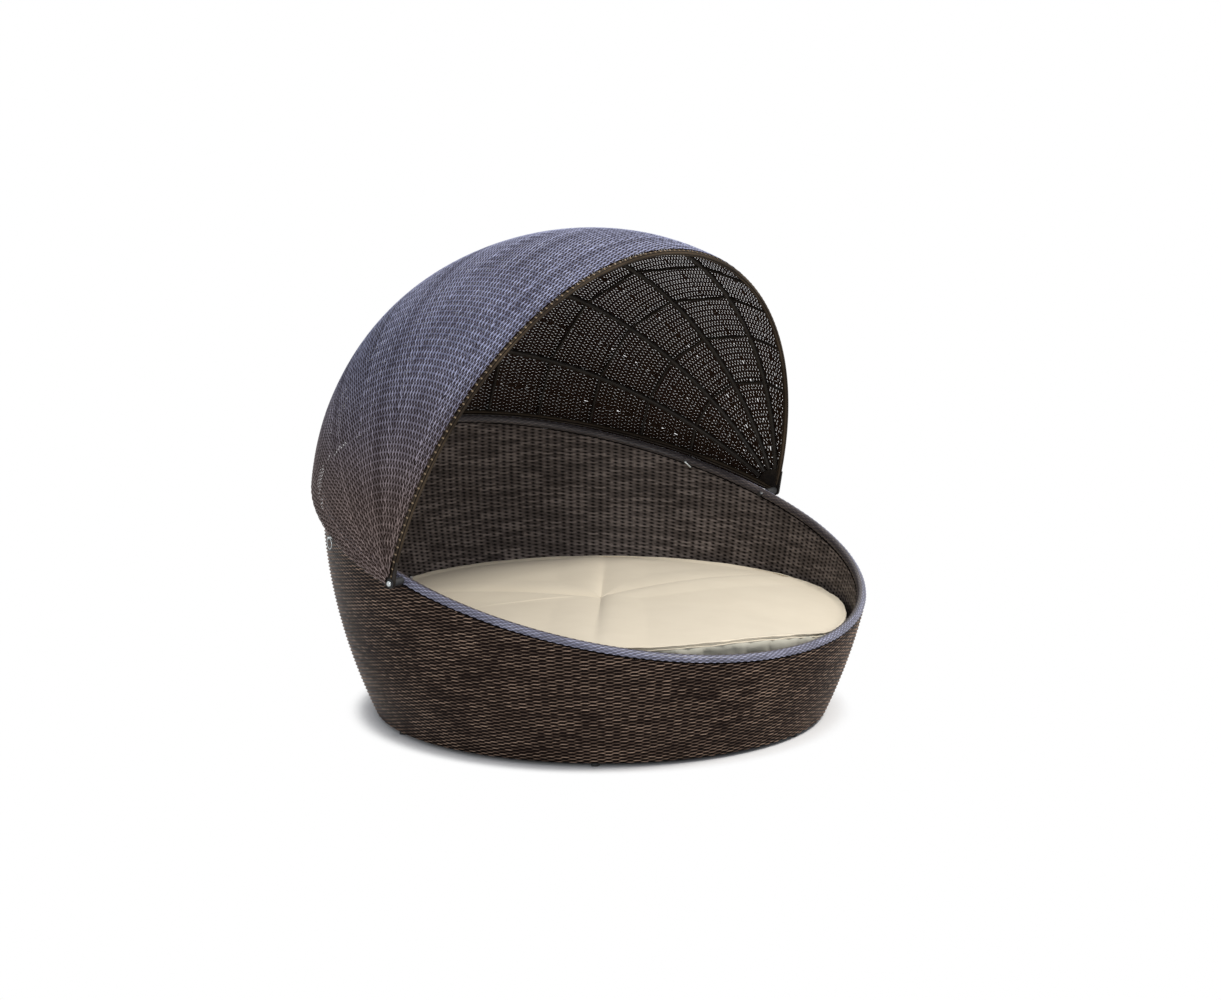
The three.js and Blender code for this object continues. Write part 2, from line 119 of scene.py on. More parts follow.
camera = bpy.data.objects.new("camera", bpy.data.cameras.new("camera"))
camera.location = (-9.216, -8.141 - middle_behind, 3.273)
camera.rotation_euler = (math.radians(78.158), 0, math.radians(-48.69))
camera.data.lens = 113.52
scene.collection.objects.link(camera)
scene.camera = camera


def white_rays(paint):
    """1 for the camera, and in gloss and glass, which see the room plain white."""
    path = paint.node("ShaderNodeLightPath", {}, {}, "Is Camera Ray")
    rays = path.socket.node.outputs
    sharp = Wire(paint.tree, rays["Is Glossy Ray"]) + Wire(paint.tree, rays["Is Transmission Ray"])
    return (path + sharp).ramp(0, 1)


world = bpy.data.worlds.new("sky")
world.use_nodes = True
scene.world = world
sky = Wire(world.node_tree)
background = world.node_tree.nodes["Background"]
sky_light = (0.43, 0.45, 0.49, 1)
plain_white = (1, 1, 1, 1)
white_rays(sky).mix(sky_light, plain_white).to(background, "Color")


def lamp(name, place, aim, size, power, colour=(1, 1, 1)):
    data = bpy.data.lights.new(name, "AREA")
    data.shape = "DISK"
    data.size = size
    data.energy = power
    data.color = colour
    made = bpy.data.objects.new(name, data)
    made.location = place
    made.rotation_euler = (Vector(place) - Vector(aim)).to_track_quat("Z", "Y").to_euler()
    scene.collection.objects.link(made)


lamp("key", (1.6, -4.4, 6.9), (0, 0, 0.5), 2.6, 500, (1.0, 0.97, 0.93))
lamp("fill", (-7.0, -3.0, 2.6), (0, 0, 0.6), 3.0, 100)

floor_reach = 90.0
shadow_reach = 0.12
under_tub = 0.73
beside_tub = 0.762
floor_mesh = bpy.data.meshes.new("floor")
corners = [(x * floor_reach, y * floor_reach, 0) for x, y in ((-1, -1), (1, -1), (1, 1), (-1, 1))]
floor_mesh.from_pydata(corners, [], [(0, 1, 2, 3)])
floor = bpy.data.objects.new("floor", floor_mesh)
scene.collection.objects.link(floor)
white = bpy.data.materials.new("white_floor")
white.use_nodes = True
paper = Wire(white.node_tree)
plain = paper.node("ShaderNodeBsdfDiffuse", {}, {"Color": (0.85, 0.85, 0.85, 1)})
glow = paper.node("ShaderNodeEmission", {}, {"Color": plain_white, "Strength": 1.0})
open_sky = paper.node("ShaderNodeAmbientOcclusion", {"samples": 12}, {"Distance": shadow_reach}, "AO")
spot = paper.node("ShaderNodeTexCoord", {}, {}, "Object")
spot = paper.node("ShaderNodeVectorMath", {"operation": "ADD"}, {0: spot, 1: (0, middle_behind, 0)})
from_axis = paper.node("ShaderNodeVectorMath", {"operation": "LENGTH"}, {0: spot}, "Value")
lit = white_rays(paper) * open_sky.ramp(0.42, 0.8) * from_axis.ramp(under_tub, beside_tub)
shown = paper.node("ShaderNodeMixShader", {}, {0: lit, 1: plain, 2: glow})
shown.to(white.node_tree.nodes["Material Output"], "Surface")
floor.data.materials.append(white)


# The tub's outer wall: flat strands woven level over upright stakes, in front of one and behind the
# next. It is fixed to the frame's base ring and rim tube.
widest_radius = 0.906
base_height = 0.012
taper = 0.163
taper_height = 0.708
rim_middle = 0.57425
rim_slope = 0.2495
rim_dip = 0.00925


def wall_radius(z):
    return widest_radius - taper * (1 - (z - base_height) / taper_height) ** 2


def rim_height(a):
    """Height of the rim tube's line, a being 0 at the front and growing to the right."""
    return rim_middle - rim_slope * np.cos(a) + rim_dip * np.cos(2 * a)


def round_tub(a, r, z):
    return np.stack(np.broadcast_arrays(r * np.sin(a), -r * np.cos(a), z), -1)


def build(name, points, faces, material, values=None, chart=None):
    """An object from arrays of points and of quads, with named values at its points."""
    mesh = bpy.data.meshes.new(name)
    points = np.array(points, float).reshape(-1, 3) - (0, middle_behind, 0)
    used = np.zeros(len(points), bool)
    faces = np.array(faces).reshape(-1, 4)
    used[faces.ravel()] = True
    faces = (np.cumsum(used) - 1)[faces]
    mesh.vertices.add(int(used.sum()))
    mesh.vertices.foreach_set("co", points[used].ravel())
    mesh.loops.add(faces.size)
    mesh.loops.foreach_set("vertex_index", faces.ravel())
    mesh.polygons.add(len(faces))
    mesh.polygons.foreach_set("loop_start", np.arange(0, faces.size, 4))
    mesh.update(calc_edges=True)
    mesh.shade_smooth()
    for key, value in (values or {}).items():
        layer = mesh.attributes.new(key, "FLOAT", "POINT")
        layer.data.foreach_set("value", np.broadcast_to(value, used.shape)[used].astype(np.float32))
    if chart is not None:
        layer = mesh.uv_layers.new(name="OFBake")
        layer.data.foreach_set("uv", np.array(chart, float).ravel())
    mesh.materials.append(material)
    made = bpy.data.objects.new(name, mesh)
    scene.collection.objects.link(made)
    return made


def quads(rows, columns, closed=False, first=0, looped=False):
    """Faces of a grid of points; closed joins its last column to its first, looped its last row."""
    index = np.arange(rows * columns).reshape(rows, columns) + first
    if looped:
        index = np.concatenate([index, index[:1]])
    if closed:
        index = np.concatenate([index, index[:, :1]], 1)
    faces = [index[:-1, :-1], index[:-1, 1:], index[1:, 1:], index[1:, :-1]]
    return np.stack(faces, -1).reshape(-1, 4)


def strip(rows, columns, low=0.0, high=1.0):
    """The same faces laid out flat between two heights of a texture."""
    across, up = np.meshgrid(np.linspace(0, 1, columns), np.linspace(low, high, rows))
    flat = np.stack([across, up], -1)
    faces = [flat[:-1, :-1], flat[:-1, 1:], flat[1:, 1:], flat[1:, :-1]]
    return np.stack(faces, -2).reshape(-1, 4, 2)


def finish(name, roughness):
    """A new material, its shader, and a first value to build its shading from."""
    made = bpy.data.materials.new(name)
    made.use_nodes = True
    shader = made.node_tree.nodes["Principled BSDF"]
    shader.inputs["Roughness"].default_value = roughness
    return made, shader, Wire(made.node_tree)


rng = np.random.default_rng(4)
strand_pitch = 0.0059
stake_count = 208
relief = 0.0016           # of a strand, to each side of the wall's middle
gap_depth = 0.0003        # of the groove between two strands, below the lowest strand
wall_thickness = 0.0042
under_rim = 0.0116        # from the rim tube's line down to the wall's upper edge
above_walls = 0.845       # higher than any strand
back_rows = 9             # of points on the wall's hidden side


def strand_tones(count, columns, run=6):
    """A tone for each point of each strand, three quarters of it the same along a run of points."""
    knots = rng.random((count, columns // run + 2)) ** 2
    return np.repeat(knots, run, 1)[:, :columns] * 0.75 + 0.25 * rng.random((count, columns))


def wall(name, material, bottom, inset, facing, front, behind, crossing=None):
    """One wall. front and behind say how light the painted shade leaves a strand in front of a stake and
    behind one; the grooves between strands and the wall's hidden back are painted darker too, as shade.

    Without crossing, each strand has two points at each stake. With it, each has one at the stake and
    one half way to the next, and crossing says how light the painted shade leaves it there, how light
    the groove beside it is there, and how light the groove is at a stake.
    """
    low = np.arange(bottom, above_walls, strand_pitch)
    half = np.arange(2 * stake_count) + (0.5 if crossing is None else 0.0)
    a = half * math.pi / stake_count
    over = np.cos(math.pi * (np.arange(len(low))[:, None] + half / 2))
    over = np.round(over * (math.sqrt(2) if crossing is None else 1))
    top = rim_height(a) - under_rim
    crest = facing * (relief * over - relief)
    valley = np.full_like(crest, -facing * (2 * relief + gap_depth))
    z = np.stack([low + 0.5 * strand_pitch, low + strand_pitch], 1)[:, :, None] + 0 * a
    z = np.minimum(z, top)
    points = round_tub(a, wall_radius(z) - inset + np.stack([crest, valley], 1), z)
    rows = 2 * len(low)
    flat_z, flat_top = z.reshape(-1), np.broadcast_to(top, z.shape).reshape(-1)
    faces = quads(rows, len(a), True)
    kept = ~(flat_z[faces] >= flat_top[faces] - 1e-7).all(1)
    back_z = bottom + np.linspace(0, 1, back_rows)[:, None] * (top - bottom)
    back = round_tub(a, wall_radius(back_z) - inset - facing * wall_thickness, back_z)
    # The hidden back gets a low tone and a low light level: painted shade.
    hidden = np.full(back_rows * len(a), 0.2)
    here = np.arange(len(a))
    beside = np.roll(here, -1)
    lip = np.stack([here, beside, beside + rows * len(a), here + rows * len(a)], -1)
    tone = np.repeat(strand_tones(len(low), len(a))[:, None], 2, 1)
    # The light levels below are painted shade: strands behind a stake and the grooves are darkened.
    if crossing is None:
        crest_light_level, valley_light_level = np.where(over > 0, front, behind), 0 * over
    else:
        crest_light_level = np.select([over > 0.5, over < -0.5], [front, behind], crossing[0])
        valley_light_level = np.where(np.abs(over) < 0.5, crossing[1], crossing[2])
    painted_light_level = np.stack([crest_light_level, valley_light_level], 1)
    return build(
        name, np.concatenate([points.reshape(-1, 3), back.reshape(-1, 3)]),
        np.concatenate([faces[kept], quads(back_rows, len(a), True, rows * len(a)), lip]), material,
        {"tone": np.concatenate([tone.ravel(), hidden]), "painted_light_level": np.concatenate([painted_light_level.ravel(), hidden])},
        np.concatenate([strip(rows, len(a) + 1, 0, 0.93)[kept],
                        strip(back_rows, len(a) + 1, 0.94, 0.99), strip(2, len(a) + 1, 0.992, 1)]))


def wicker(name, dark, light, painted_gap_shade, roughness=0.36, high=None):
    """Smooth flat strand: lots of it differ in tone, and painted shade makes it darkest in the gaps of the
    weave.
    """
    made, shader, paint = finish(name, roughness)
    shader.inputs["Specular IOR Level"].default_value = 0.025
    tone = paint.part("tone") * 0.88 + paint.noise(5.0, 3.0).ramp(0.3, 0.7) * 0.12
    colour = tone.mix(dark, light)
    # With high, a bluish painted sky reflection is mixed in on the upper part of the piece.
    if high:
        colour = paint.height().ramp(0.75, 1.35).mix(colour, tone.mix(*high))
    # Painted shade: a low light level at the points takes the colour to the gap colour, in the grooves and
    # behind stakes.
    paint.part("painted_light_level").ramp(0.2, 0.85).mix(painted_gap_shade, colour).to(shader, "Base Color")
    (paint.noise(60.0) * 0.2 + (roughness - 0.1)).to(shader, "Roughness")
    paint.noise(420.0, 2.0, (1, 1, 0.25)).bump(0.25, 0.0004).to(shader, "Normal")
    return made


def place(piece, body, slot, *nodes):
    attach(piece, body)
    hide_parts(*nodes)


# Its last colour is painted shade, which fills the gaps of the weave and darkens strands behind a stake.
wicker_outer = wicker("wicker_outer", (0.032, 0.019, 0.015, 1), (0.60, 0.42, 0.31, 1),
                      (0.007, 0.004, 0.0035, 1))
outer_wall = wall("outer_weave", wicker_outer, base_height, 0, 1, 1.0, 0.2)
place(outer_wall, "tub", "wicker", "outer_wall")

# The tub's inner wall: the same weave, from beside the deck up to the border. It is fixed to the
# inside of the frame, and the mattress lies against its foot.
wall_gap = 0.032
inner_foot = 0.2225
# Its last colour is painted shade, which fills the gaps of the weave and darkens strands behind a stake.
wicker_inner = wicker("wicker_inner", (0.052, 0.042, 0.038, 1), (0.29, 0.243, 0.222, 1),
                      (0.006, 0.005, 0.0045, 1))
inner_wall = wall("inner_weave", wicker_inner, inner_foot, wall_gap, -1, 0.95, 0.0, (0.95, 0.8, 0.42))
place(inner_wall, "tub", "wicker", "inner_wall")

# The border: a woven sleeve of finer strands rolled over the rim tube, open below where the two
# walls run up into it. Its outward side is painted pale and bluish as a painted sky reflection, and its
# inward side darker as painted shade.
roll_radius = 0.016
roll_start = -35          # degrees from straight out, upward
roll_turn = 250
roll_relief = 0.0007
roll_gap = 0.0019
border_rows = 12
border_stakes = 440
half = np.arange(2 * border_stakes)
a = (half + 0.5) * math.pi / border_stakes
share = (np.arange(border_rows)[:, None] + [0.5, 1.0]) / border_rows
turn = np.radians(roll_start + roll_turn * share)[:, :, None]
over = 1 - 2.0 * ((np.arange(border_rows)[:, None] + (half + 1) // 2) % 2)
out = np.stack([roll_radius - roll_relief + roll_relief * over, 0 * over + roll_radius - roll_gap], 1)
middle = wall_radius(rim_height(a)) - roll_radius
points = round_tub(a, middle + out * np.cos(turn), rim_height(a) + out * np.sin(turn))
border_painted_sky, shader, paint = finish("wicker_border", 0.34)
tone = paint.part("tone") * 0.6 + paint.noise(90.0, 2.0) * 0.4
# Painted reflection and shade: the side that faces out is painted pale bluish as a sky reflection, the
# side that faces in dark.
painted_sky_side = paint.part("out").ramp(-0.1, 0.5)
colour = painted_sky_side.mix(tone.mix((0.030, 0.024, 0.021, 1), (0.30, 0.25, 0.23, 1)),
                       tone.mix((0.15, 0.15, 0.22, 1), (0.66, 0.67, 0.88, 1)))
shader.inputs["Specular IOR Level"].default_value = 0.25
# Painted shade: the grooves and strands behind a stake go to a near-black colour.
paint.part("painted_light_level").mix((0.03, 0.028, 0.035, 1), colour).to(shader, "Base Color")
(paint.noise(60.0) * 0.2 + 0.25).to(shader, "Roughness")
paint.noise(420.0).bump(0.2, 0.0004).to(shader, "Normal")
border = build(
    "rim_sleeve", points, quads(2 * border_rows, len(a), True), border_painted_sky,
    {"tone": np.repeat(strand_tones(border_rows, len(a), 12)[:, None], 2, 1).ravel(),
     "painted_light_level": np.stack([0.65 + 0.35 * over, 0.1 + 0 * over], 1).ravel(),
     "out": (np.cos(turn) + 0 * out).ravel()},
    strip(2 * border_rows, len(a) + 1))
place(border, "tub", "wicker_border", "rim_border")

# The hood's weave: strands laid along the bows, in front of one stake and behind the next, with light
# showing between them. They run in from each bow and meet in the middle of the gap to the next.
pivot = np.array([0, 0.032, 0.576])
half_span = 0.959
bow_reach = [0.997, 1.003, 1.003, 0.997, 0.971, 0.936]
bow_angles = [74.6, 89, 109.5, 127.5, 147, 162.6]
bow_fullness = [1.0, 0.97, 0.965, 0.99, 1.025, 1.045]
angle_past_last = 15.6    # degrees to one more bow, which the hem would reach if there were one


def smooth_at(values, u):
    """A size of the bows at bow number u, which runs smoothly through the whole numbers."""
    values = np.array(values)
    i = np.clip(np.floor(u).astype(int), 0, 4)
    t = u - i
    p, q = values[i], values[i + 1]
    before = np.where(i > 0, values[np.maximum(i - 1, 0)], 2 * p - q)
    after = np.where(i < 4, values[np.minimum(i + 2, 5)], 2 * q - p)
    bend = 2 * before - 5 * p + 4 * q - after + t * (3 * (p - q) + after - before)
    return p + t * (q - before + t * bend) / 2


def bow(u, a, inset):
    """Points along bow u, a from 0 at the right pivot to pi at the left one, set in from the cover."""
    u, a = np.broadcast_arrays(np.array(u, float), a)
    reach = (smooth_at(bow_reach, u) - inset) * np.sin(a) ** smooth_at(bow_fullness, u)
    t = np.radians(np.interp(u, range(6), bow_angles) + angle_past_last * np.maximum(u - 5, 0))
    return pivot + np.stack([(half_span - inset) * np.cos(a), -reach * np.cos(t), reach * np.sin(t)], -1)


def unit(v):
    return v / np.maximum(np.linalg.norm(v, axis=-1, keepdims=True), 1e-9)


def cover_frame(u, a, inset):
    """Points on the cover, with the directions along its strands, across them and outward."""
    small_turn, small_step = 0.003, 0.02
    line = bow(u, a, inset)
    along = unit(bow(u, a + small_turn, inset) - bow(u, a - small_turn, inset))
    across = bow(u + small_step, a, inset) - bow(np.maximum(u - small_step, 0), a, inset)
    outward = unit(np.cross(unit(across), along))
    return line, along, unit(np.cross(along, outward)), outward


hood_pitch = 0.0062
hood_stakes = 126
cover_depth = 0.0026
binding_edge = 0.0075     # from the first bow back to where the first strand starts
pin_station = math.radians(21.7)
pin_room = math.radians(1.3)
hem_stations = [2, 4, 105, 145, 176, 180]
hem_depths = [0.006, 0.024, 0.024, 0.011, 0.010, 0.006]
hem_at_pin = 0.006


def hem_depth(a):
    """How far the weave hangs past the last bow; it stops short of each stop pin."""
    deep = np.interp(np.degrees(a), hem_stations, hem_depths)
    by_pin = np.minimum(np.abs(a - pin_station), np.abs(a - math.pi + pin_station)) < pin_room
    return np.where(by_pin, hem_at_pin, deep)


strand_half_width = 0.0031
strand_half_depth = 0.0011
strand_edge = 0.0003
weave_rise = 0.00085
half = np.arange(1, 2 * hood_stakes - 1)
a = (half / 2 + 0.25) * math.pi / hood_stakes
# Its third colour is painted shade for the gaps of the weave; the last pair mixes a bluish painted sky
# reflection into the upper part of the hood.
wicker_hood = wicker("wicker_hood", (0.070, 0.052, 0.048, 1), (0.50, 0.385, 0.355, 1),
                     (0.026, 0.014, 0.009, 1), 0.4,
                     ((0.066, 0.070, 0.118, 1), (0.66, 0.70, 0.99, 1)))
for gore in range(5):
    steps = bow(np.linspace(gore, gore + 1, 9)[:, None], a[None], cover_depth)
    width = np.linalg.norm(np.diff(steps, axis=0), axis=-1).sum(0)
    starts = [binding_edge if gore == 0 else 0.0, -4 * hood_pitch if gore == 4 else 0.0]
    points, faces, tones, light_levels, charts = [], [], [], [], []
    count = 0
    for side in (0, 1):
        room = (width + starts[side] - starts[1 - side]) / 2
        for k in range(int(width.max() / hood_pitch / 2) + 2):
            offset = starts[side] + (k + 0.5) * hood_pitch
            hangs = (side == 0 or gore < 4) | (-offset < hem_depth(a))
            inside = np.flatnonzero((room > offset - 0.4 * hood_pitch) & hangs)
            if len(inside) < 4:
                continue
            share = (offset / width)[inside]
            u = gore + share if side == 0 else gore + 1 - share
            line, along, across, outward = cover_frame(u, a[inside], cover_depth)
            over = 1 - 2.0 * ((k + side + (half[inside] + 1) // 2) % 2)
            line = line + outward * weave_rise * over[:, None]
            corners = [(-strand_half_width, -strand_edge), (0, -strand_half_depth),
                       (strand_half_width, -strand_edge), (0, strand_half_depth)]
            section = np.stack([line + across * x + outward * y for x, y in corners], 1)
            points.append(section.reshape(-1, 3))
            faces.append(quads(len(inside), 4, True, count))
            runs = strand_tones(1, len(inside), 26)[0]
            tones.append(np.repeat(0.5 * runs + 0.5 * rng.random(), 4))
            # Painted shade: a strand is darker behind a stake and on its edges and inner face, lightest on
            # its outer crown.
            light_levels.append(((0.68 + 0.32 * over)[:, None] * [0.25, 0.15, 0.25, 1.0]).ravel())
            charts.append((len(inside), len(charts)))
            count += 4 * len(inside)
    laid = [strip(rows, 5, n / len(charts), (n + 0.9) / len(charts)) for rows, n in charts]
    strands = build(f"hood_strands_{gore + 1}", np.concatenate(points), np.concatenate(faces), wicker_hood,
                    {"tone": np.concatenate(tones), "painted_light_level": np.concatenate(light_levels)}, np.concatenate(laid))
    place(strands, "hood", "wicker", "hood_weave")

# The stakes of the hood's weave: wider flat strands that run over the bows, from the first to the last,
# and on to the hem behind it.
stake_half_width = 0.0046
stake_half_depth = 0.0005
stake_points = 37
at = np.arange(1, hood_stakes)[:, None] * math.pi / hood_stakes
share = np.linspace(0, 1, stake_points)
first_gap = np.linalg.norm(bow(0, at[:, 0], 0) - bow(1, at[:, 0], 0), axis=-1)
last_gap = np.linalg.norm(bow(5, at[:, 0], 0) - bow(4, at[:, 0], 0), axis=-1)
front_edge = binding_edge / first_gap
rear_edge = -hem_depth(at[:, 0]) / last_gap
u = front_edge[:, None] + share * (5 - front_edge - rear_edge)[:, None]
line, along, across, outward = cover_frame(u, at + 0 * u, cover_depth)
corners = [(-stake_half_width, 0.0), (0, -stake_half_depth),
           (stake_half_width, 0.0), (0, stake_half_depth)]
points = np.stack([line + along * x + outward * y for x, y in corners], 2)
faces = [quads(stake_points, 4, True, 4 * stake_points * k) for k in range(len(at))]
laid = [strip(stake_points, 5, k / len(at), (k + 0.9) / len(at)) for k in range(len(at))]
# The stakes carry painted shade: darker on their edges and inner face than on their outer crown.
stakes = build("hood_stakes", points, np.concatenate(faces), wicker_hood,
               {"tone": 0.25, "painted_light_level": np.tile([0.4, 0.3, 0.4, 0.7], points.size // 12)},
               np.concatenate(laid))
place(stakes, "hood", "wicker", "hood_weave")

# The hood's two edges: strands bound lengthwise round the first and the last bow, and tied down by the
# end of each stake.
bow_inset = 0.0128
bound_radius = 0.0080
tie_radius = 0.0095
lobe = 0.0007
binding_sides = 20
tied_sides = [7, 8, 9, 10, 11]


def bow_frame(i, a, inset):
    """Points along a bow with two directions square to it, the second square to the bow's plane."""
    line = bow(i, a, inset)
    t = math.radians(bow_angles[i])
    square = np.array([0, math.sin(t), math.cos(t)])
    in_plane = unit(np.cross(unit(np.gradient(line, axis=0)), square))
    return line, in_plane, np.broadcast_to(square, line.shape)


def tube_points(line, first, second, radius, sides):
    """Rings of points round a line; radius is one number, or one for each ring, or for each point."""
    turn = np.arange(sides) * 2 * math.pi / sides
    if np.ndim(radius) < 2:
        radius = np.array(radius, float).reshape(-1, 1)
    radius = np.broadcast_to(radius, (len(line), sides))[..., None]
    ring = first[:, None] * np.cos(turn)[:, None] + second[:, None] * np.sin(turn)[:, None]
    return line[:, None] + ring * radius


wicker_binding = wicker("wicker_binding", (0.018, 0.013, 0.010, 1), (0.34, 0.25, 0.16, 1),
                        (0.006, 0.005, 0.004, 1))
for i, name in ((0, "hood_front_binding"), (5, "hood_rear_binding")):
    step = math.pi / hood_stakes
    tie = np.arange(1, hood_stakes) * step
    a = (tie[:, None] + step * np.array([-0.11, -0.08, 0.08, 0.11, 0.5])).ravel()
    side = np.arange(binding_sides)
    tied = np.tile([0, 1, 1, 0, 0], len(tie))[:, None] * np.isin(side, tied_sides)
    radius = np.where(tied > 0, tie_radius, bound_radius + lobe * (side % 4 != 0))
    line, first, second = bow_frame(i, a, bow_inset)
    thin = np.clip((0.5 * math.pi - np.abs(a - 0.5 * math.pi)) / 0.06, 0.6, 1)[:, None]
    # Painted shade: the grooves between the bound strands are darkened to the gap colour; the ties keep a
    # lighter tone of their own.
    bound = build(name + "_strands", tube_points(line, first, second, radius * thin, binding_sides),
                  quads(len(a), binding_sides, True), wicker_binding,
                  {"tone": np.where(tied > 0, 0.9, 0.04).ravel(),
                   "painted_light_level": np.maximum(tied, side % 4 != 0).ravel() * 1.0},
                  strip(len(a), binding_sides + 1))
    place(bound, "hood", "wicker", name)

# The hood's inner bows: four tubes bent to the curve of the hood and painted dark. Short bars run across
# from each to its neighbours and hold their distance.
coat, shader, paint = finish("frame_paint", 0.42)
shader.inputs["Specular IOR Level"].default_value = 0.2
worn = paint.noise(35.0, 4.0).ramp(0.3, 0.75)
worn.mix((0.014, 0.011, 0.009, 1), (0.024, 0.019, 0.015, 1)).to(shader, "Base Color")
(paint.noise(140.0) * 0.25 + 0.3).to(shader, "Roughness")
paint.noise(600.0, 3.0).bump(0.12, 0.0003).to(shader, "Normal")
tube_radius = 0.008
bar_radius = 0.0048
bar_pitch = 11.25
bar_count = 13
bar_clearance = 0.0008
bar_to_binding = 0.0102
tube_sides = 16
bar_sides = 10
hub_radius = 0.0762
for i, others in ((1, (0, 2)), (2, (3,)), (3, (4,)), (4, (5,))):
    end = math.asin((hub_radius / (bow_reach[i] - bow_inset)) ** (1 / bow_fullness[i]))
    a = np.linspace(end, math.pi - end, 121)
    line, first, second = bow_frame(i, a, bow_inset)
    points = [tube_points(line, first, second, tube_radius, tube_sides).reshape(-1, 3)]
    faces = [quads(len(a), tube_sides, True)]
    count = tube_sides * len(a)
    for other in others:
        for j in range(bar_count):
            at = np.array([math.radians((j + 2) * bar_pitch)])
            start, far = bow(i, at, bow_inset)[0], bow(other, at, bow_inset)[0]
            along = (far - start) / np.linalg.norm(far - start)
            stop = bar_to_binding if other in (0, 5) else tube_radius + bar_clearance
            reach = np.linalg.norm(far - start) - stop
            line = start + along * np.array([[0.0], [0.3 * reach], [0.7 * reach], [reach]])
            first = np.tile(unit(np.cross(along, start - pivot)), (len(line), 1))
            bar = tube_points(line, first, np.cross(along, first), bar_radius, bar_sides)
            points.append(bar.reshape(-1, 3))
            faces.append(quads(len(line), bar_sides, True, count))
            count += len(line) * bar_sides
    made = build(f"hood_tube_{i + 1}", np.concatenate(points), np.concatenate(faces), coat)
    place(made, "hood", "frame", f"hood_bow_{i + 1}")

# The rest of the frame, as the part's source has it: rings, uprights, bearers, the tubes inside the
# bindings and the plates that the bows are welded to, all painted with the same dark coat.
frame_nodes = ["base_ring", "deck_ring", "rim_tube", "hood_front_bow", "hood_rear_bow",
               "hub_plate_left", "hub_plate_right"]
frame_nodes += [f"upright_{k}" for k in range(1, 11)] + [f"deck_bearer_{k}" for k in range(1, 5)]
for name in frame_nodes:
    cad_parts[name].data.materials.clear()
    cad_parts[name].data.materials.append(coat)

# The deck: a woven panel on its ring and bearers, which carries the mattress. Its strands cross
# square, over and under.
deck_weave, shader, paint = finish("deck_weave", 0.5)
spot = paint.node("ShaderNodeTexCoord", {}, {}, "Object")
woven = paint.node("ShaderNodeTexChecker", {}, {"Vector": spot, "Scale": 90.0}, "Fac")
ribs = {"Vector": spot, "Scale": 28.0}
rib = paint.node("ShaderNodeTexWave", {"bands_direction": "X"}, ribs, "Fac")
cross_rib = paint.node("ShaderNodeTexWave", {"bands_direction": "Y"}, ribs, "Fac")
height = woven * rib + (1 - woven) * cross_rib
# The colour follows the weave's bump height, darker where it is low: painted shade in the grooves.
height.mix((0.012, 0.009, 0.008, 1), (0.085, 0.066, 0.056, 1)).to(shader, "Base Color")
height.bump(0.6, 0.0015).to(shader, "Normal")
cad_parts["deck_panel"].data.materials.clear()
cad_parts["deck_panel"].data.materials.append(deck_weave)

# The mattress: a thick round pad of foam in a pale woven cover, sewn in four panels that meet in the
# middle. A pressure inside swells the cover between its seams, which hold it down.
cover, shader, paint = finish("cover_cloth", 0.88)
shader.inputs["Sheen Weight"].default_value = 0.12
shade = paint.noise(9.0, 3.0).ramp(0.3, 0.7) * 0.5 + paint.noise(260.0, 2.0) * 0.5
top_colour = shade.mix((0.735, 0.650, 0.505, 1), (0.785, 0.700, 0.550, 1))
# The band is painted greyer than the top, as painted shade on the cover's side.
band_painted_shade_colour = shade.mix((0.46, 0.44, 0.36, 1), (0.56, 0.535, 0.445, 1))
paint.part("band").mix(top_colour, band_painted_shade_colour).to(shader, "Base Color")
spot = paint.node("ShaderNodeTexCoord", {}, {}, "Object")
threads = paint.node("ShaderNodeTexWave", {"bands_direction": "X"},
                     {"Vector": spot, "Scale": 300.0, "Distortion": 1.0}, "Fac")
(threads * 0.4 + paint.noise(700.0) * 0.6).bump(0.15, 0.0003).to(shader, "Normal")
pad_radius = 0.8
pad_bottom = 0.2286
pad_middle = 0.384
low_edge = 0.328
edge_rise = 0.070
full_side = math.radians(-50)
seams = np.radians([-50, 80, 130, 210])
tight_seam = 0.024
loose_seam = 0.085
seam_depth = 0.018
puff_height = 0.008
fold_at = math.radians(241)
fold_width = 0.006
fold_height = 0.003


def seam_height(a):
    """Height of the mattress's upper edge, which stands higher on its fuller side."""
    near = np.clip((np.cos(a - full_side) - 0.25) / 0.65, 0, 1)
    return low_edge + edge_rise * near * near * (3 - 2 * near)


def turn_between(a, b):
    return np.angle(np.exp(1j * (a - b)))


sectors = 336
a = np.arange(sectors) * 2 * math.pi / sectors
rings = np.concatenate([[0.003, 0.03], np.linspace(0.06, 0.985, 60), [0.994, 1.0]])[:, None]
seam_gap = np.min([np.abs(turn_between(a, seam)) for seam in seams], 0)
from_seam = seam_gap * rings * pad_radius
degrees = np.degrees(a)
slack = ((degrees > 80) & (degrees < 130)) | ((degrees > 210) & (degrees < 310))
sewn = np.exp(-from_seam / np.where(slack, loose_seam, tight_seam)) * (1.0 - 0.7 * rings)
puff = puff_height * np.sin(math.pi * np.minimum(1, rings * 1.01)) ** 0.6
z = pad_middle + (seam_height(a) - pad_middle) * rings ** 2.4 + puff - seam_depth * sewn
fold = np.exp(-(turn_between(a, fold_at) * rings * pad_radius / fold_width) ** 2)
z = z + fold_height * fold * np.clip((rings - 0.04) * 8, 0, 1) * np.clip((0.6 - rings) * 6, 0, 1)
top = round_tub(a, pad_radius * rings, z)

